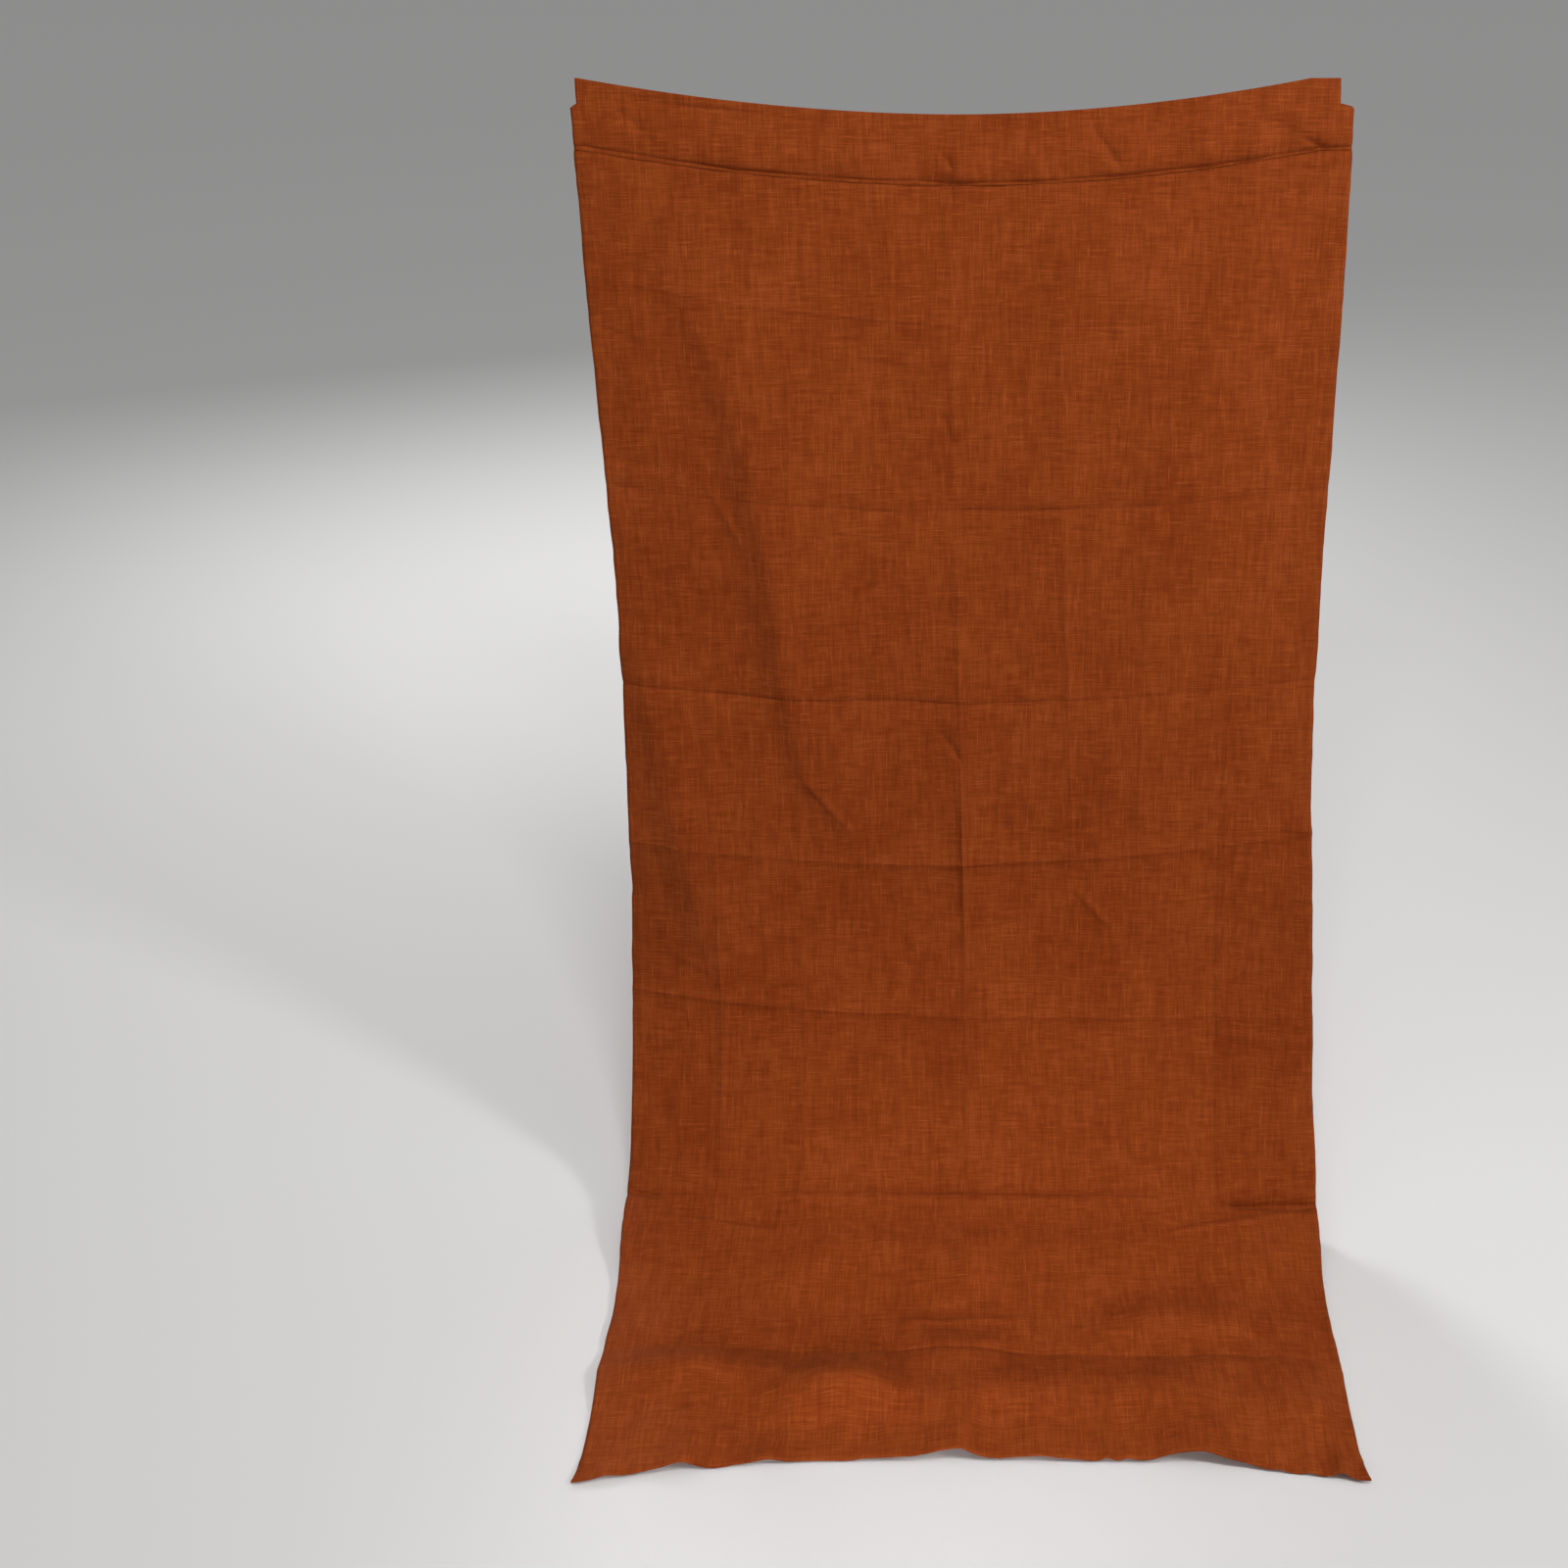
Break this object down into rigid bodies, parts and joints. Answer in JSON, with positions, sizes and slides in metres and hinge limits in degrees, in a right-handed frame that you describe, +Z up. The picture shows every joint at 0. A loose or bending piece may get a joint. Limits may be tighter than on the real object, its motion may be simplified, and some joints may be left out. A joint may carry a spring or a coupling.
{
  "type": "curtain panel",
  "caption": "Unlined rust linen curtain panel with a rod pocket, hung by its top corners, its end trailing forward on the floor.",
  "frame": {"origin": "middle of the rod pocket's tunnel, halfway across the panel", "axes": "+Z up, +X along the pocket from its left end to its right end as seen from the room, -Y towards the room, where the end of the cloth lies on the floor"},
  "size_m": [1.4299, 1.2232, 2.192],
  "materials": {
    "linen": "matt slubby plain-weave linen, rust terracotta, a slight fibre sheen",
    "thread": "matching spun sewing thread, slightly smoother than the cloth"
  },
  "bodies": {
    "root": {"panel_cloth": "linen", "heading_fold": "linen", "pocket_back_ply": "linen", "pocket_hem_fold": "linen", "pocket_turn_under": "linen", "left_hem_fold": "linen", "left_hem_turn_under": "linen", "right_hem_fold": "linen", "right_hem_turn_under": "linen", "bottom_hem_fold": "linen", "bottom_hem_turn_under": "linen", "pocket_needle_thread": "thread", "pocket_bobbin_thread": "thread", "pocket_bar_tack_left": "thread", "pocket_bar_tack_right": "thread", "left_hem_needle_thread": "thread", "left_hem_bobbin_thread": "thread", "right_hem_needle_thread": "thread", "right_hem_bobbin_thread": "thread", "bottom_hem_needle_thread": "thread", "bottom_hem_bobbin_thread": "thread"}
  },
  "joints": []
}
